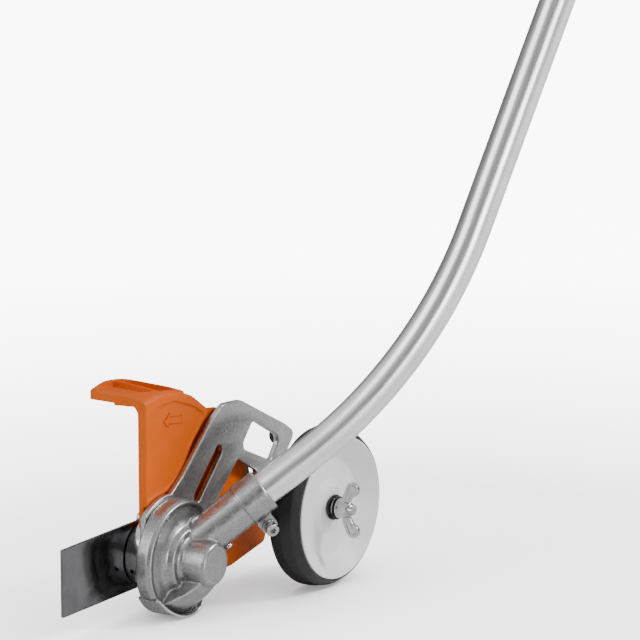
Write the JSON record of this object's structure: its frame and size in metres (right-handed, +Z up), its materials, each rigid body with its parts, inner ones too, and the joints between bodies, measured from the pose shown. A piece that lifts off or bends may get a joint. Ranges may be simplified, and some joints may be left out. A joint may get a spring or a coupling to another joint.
{
  "type": "lawn edger attachment",
  "caption": "Curved-shaft lawn edger attachment with a bevel gearbox, upright steel blade, orange guard, skid shoe and height-adjustable guide wheel.",
  "frame": {"origin": "on the ground, under the middle of the machine's box, with the skid and the wheel standing on the ground", "axes": "+X along the blade's spindle, from the blade towards the gearbox boss; -Y the way the machine travels; +Z up"},
  "size_m": [0.3138, 0.4591, 0.72],
  "materials": {
    "cast_aluminium": "satin cast aluminium with a fine sand-cast grain and brighter worn edges",
    "drawn_aluminium": "drawn and polished tube with long soft highlights",
    "turned_steel": "bright turned steel with fine turning marks",
    "blade_steel": "ground and polished blade steel",
    "zinc_plate": "bright zinc-plated steel",
    "bearing_steel": "ground bearing steel",
    "blackened_steel": "satin black oxide",
    "orange_polyamide": "moulded orange glass-filled polyamide, semi-gloss",
    "black_rubber": "matt black rubber",
    "solid_tyre": "satin black solid rubber",
    "grey_plastic": "moulded silver-grey plastic, satin",
    "white_nylon": "natural nylon"
  },
  "bodies": {
    "root": {"gearbox_housing": "cast_aluminium", "spindle_bearing_large": "bearing_steel", "spindle_bearing_small": "bearing_steel", "spindle_seal": "black_rubber", "spindle_circlip": "turned_steel", "pinion_bearing_inner": "bearing_steel", "pinion_bearing_outer": "bearing_steel", "pinion_circlip": "turned_steel", "bearing_retaining_screw": "zinc_plate", "clamp_screw": "zinc_plate", "skid_shoe": "turned_steel", "skid_screw_1": "zinc_plate", "skid_screw_2": "zinc_plate", "wheel_bracket": "cast_aluminium", "bracket_screw_1": "zinc_plate", "bracket_screw_2": "zinc_plate", "bracket_buffer": "black_rubber", "blade_guard": "orange_polyamide", "guard_screw_1": "zinc_plate", "guard_screw_2": "zinc_plate", "guard_screw_3": "zinc_plate", "rubber_skirt": "black_rubber", "skirt_rivet_1": "zinc_plate", "skirt_rivet_2": "zinc_plate", "drive_tube": "drawn_aluminium", "shaft_liner": "white_nylon", "drive_shaft_flexible": "turned_steel", "coupling_bush": "white_nylon"},
    "spindle": {"edger_blade": "blade_steel", "output_shaft": "turned_steel", "blade_carrier": "turned_steel", "thrust_plate": "turned_steel", "clamp_washer": "zinc_plate", "blade_nut": "zinc_plate", "gear_spacer": "turned_steel", "driven_gear": "turned_steel"},
    "pinion": {"bevel_pinion": "turned_steel", "drive_shaft_lower": "turned_steel"},
    "upper_shaft": {"drive_shaft_upper": "turned_steel"},
    "axle": {"axle_bolt": "zinc_plate", "axle_sleeve": "zinc_plate", "axle_washer_inner": "blackened_steel", "axle_spring_washer": "turned_steel", "axle_washer_outer": "blackened_steel"},
    "wheel": {"wheel_disc": "grey_plastic", "wheel_tyre": "solid_tyre", "wheel_bush": "white_nylon"},
    "wing_nut": {"wing_nut": "zinc_plate"}
  },
  "joints": [
    {"name": "blade_spin", "type": "hinge", "parent": "root", "child": "spindle", "pos_m": [-0.1209, -0.1279, 0.0425], "axis": [1, 0, 0], "continuous": true},
    {"name": "pinion_spin", "type": "hinge", "parent": "root", "child": "pinion", "pos_m": [-0.0901, -0.1279, 0.0425], "axis": [0.584, 0.55, 0.597], "continuous": true},
    {"name": "drive_shaft_spin", "type": "hinge", "parent": "root", "child": "upper_shaft", "pos_m": [0.14454, 0.21785, 0.71478], "axis": [0.1706, 0.3735, 0.9118], "continuous": true},
    {"name": "wheel_depth", "type": "slide", "parent": "root", "child": "axle", "axis": [0, 0, -1], "range_m": [0, 0.025]},
    {"name": "wheel_spin", "type": "hinge", "parent": "axle", "child": "wheel", "pos_m": [-0.1209, -0.0039, 0.0605], "axis": [1, 0, 0], "continuous": true},
    {"name": "wing_nut_turn", "type": "hinge", "parent": "axle", "child": "wing_nut", "pos_m": [-0.1209, -0.0039, 0.0605], "axis": [1, 0, 0], "range_deg": [0, 360]}
  ],
  "couplings": [
    {"joint": "pinion_spin", "follows": "blade_spin", "ratio": -1.4167},
    {"joint": "drive_shaft_spin", "follows": "blade_spin", "ratio": -1.4167}
  ]
}
